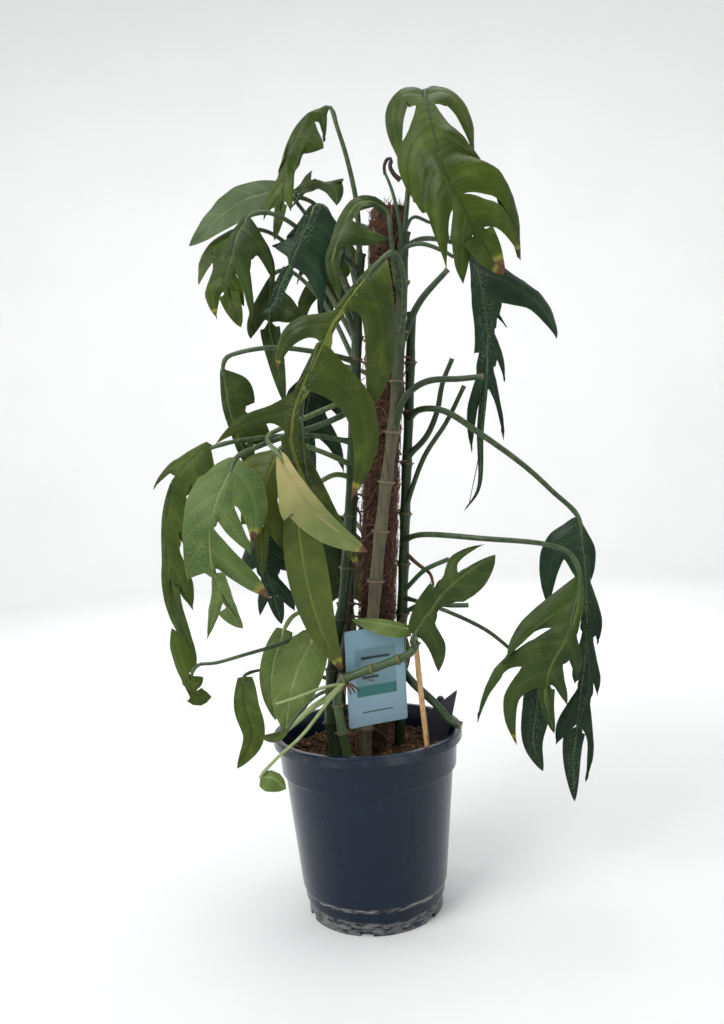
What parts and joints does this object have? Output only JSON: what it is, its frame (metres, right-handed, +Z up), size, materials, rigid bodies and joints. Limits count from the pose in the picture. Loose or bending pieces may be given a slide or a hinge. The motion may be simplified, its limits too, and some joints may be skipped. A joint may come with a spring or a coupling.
{
  "type": "potted climbing aroid",
  "caption": "Climbing aroid with split, drooping leaves, trained up a coir pole in a round tapered nursery pot.",
  "frame": {"origin": "middle of the pot's flat foot", "axes": "+Z up the plant, +X to the right and -Y towards the viewer in the front view"},
  "size_m": [0.3645, 0.214, 0.6802],
  "materials": {
    "pot_plastic": "dark navy blown plastic, scuffed, with a lime-stained foot",
    "potting_soil": "dark brown peat and bark chips, matt",
    "coir": "loose red-brown coconut fibre",
    "pole_wood": "plain softwood stake inside the fibre",
    "stem_bark": "grey-brown woody stem with node rings",
    "stem_green": "dark green stem",
    "leaf_green": "mid green leaf, satin",
    "leaf_young": "lighter yellow-green leaf, satin",
    "leaf_dark": "deep blue-green leaf, satin",
    "tag_card": "pale blue coated card",
    "bamboo": "split bamboo, smooth",
    "label_plastic": "near-black thin plastic"
  },
  "bodies": {
    "root": {"pot": "pot_plastic", "soil": "potting_soil", "coir_sleeve": "coir", "pole_core": "pole_wood", "stem_front": "stem_bark", "stem_right": "stem_green", "stem_left": "stem_green", "stem_left_back": "stem_bark", "stem_back": "stem_bark", "stem_runner": "stem_green", "leaf_top_right": "leaf_young", "leaf_right_hanging": "leaf_dark", "leaf_top_left": "leaf_young", "leaf_top_left_side": "leaf_green", "leaf_left_upper": "leaf_green", "leaf_left_lobed": "leaf_young", "leaf_left_mid": "leaf_green", "leaf_left_dark": "leaf_dark", "leaf_top_centre": "leaf_green", "leaf_centre_front": "leaf_green", "leaf_centre_pale": "leaf_young", "leaf_left_strip": "leaf_dark", "leaf_left_back": "leaf_green", "leaf_lower_left_front": "leaf_green", "leaf_far_left": "leaf_green", "leaf_far_left_low": "leaf_dark", "leaf_left_light": "leaf_young", "leaf_front_hanging": "leaf_young", "leaf_lower_heart": "leaf_young", "leaf_lower_heart_back": "leaf_young", "leaf_low_back": "leaf_dark", "leaf_lower_left_small": "leaf_green", "leaf_rim_left": "leaf_green", "leaf_rim_small": "leaf_green", "leaf_right_far": "leaf_dark", "leaf_right_front": "leaf_green", "leaf_right_low": "leaf_dark", "leaf_right_mid": "leaf_green", "leaf_pale_small": "leaf_young", "leaf_back_top": "leaf_green", "leaf_back_left": "leaf_dark", "leaf_back_low": "leaf_green", "leaf_back_low_right": "leaf_young", "card_tag": "tag_card", "bamboo_stick": "bamboo", "nursery_label": "label_plastic"}
  },
  "joints": []
}
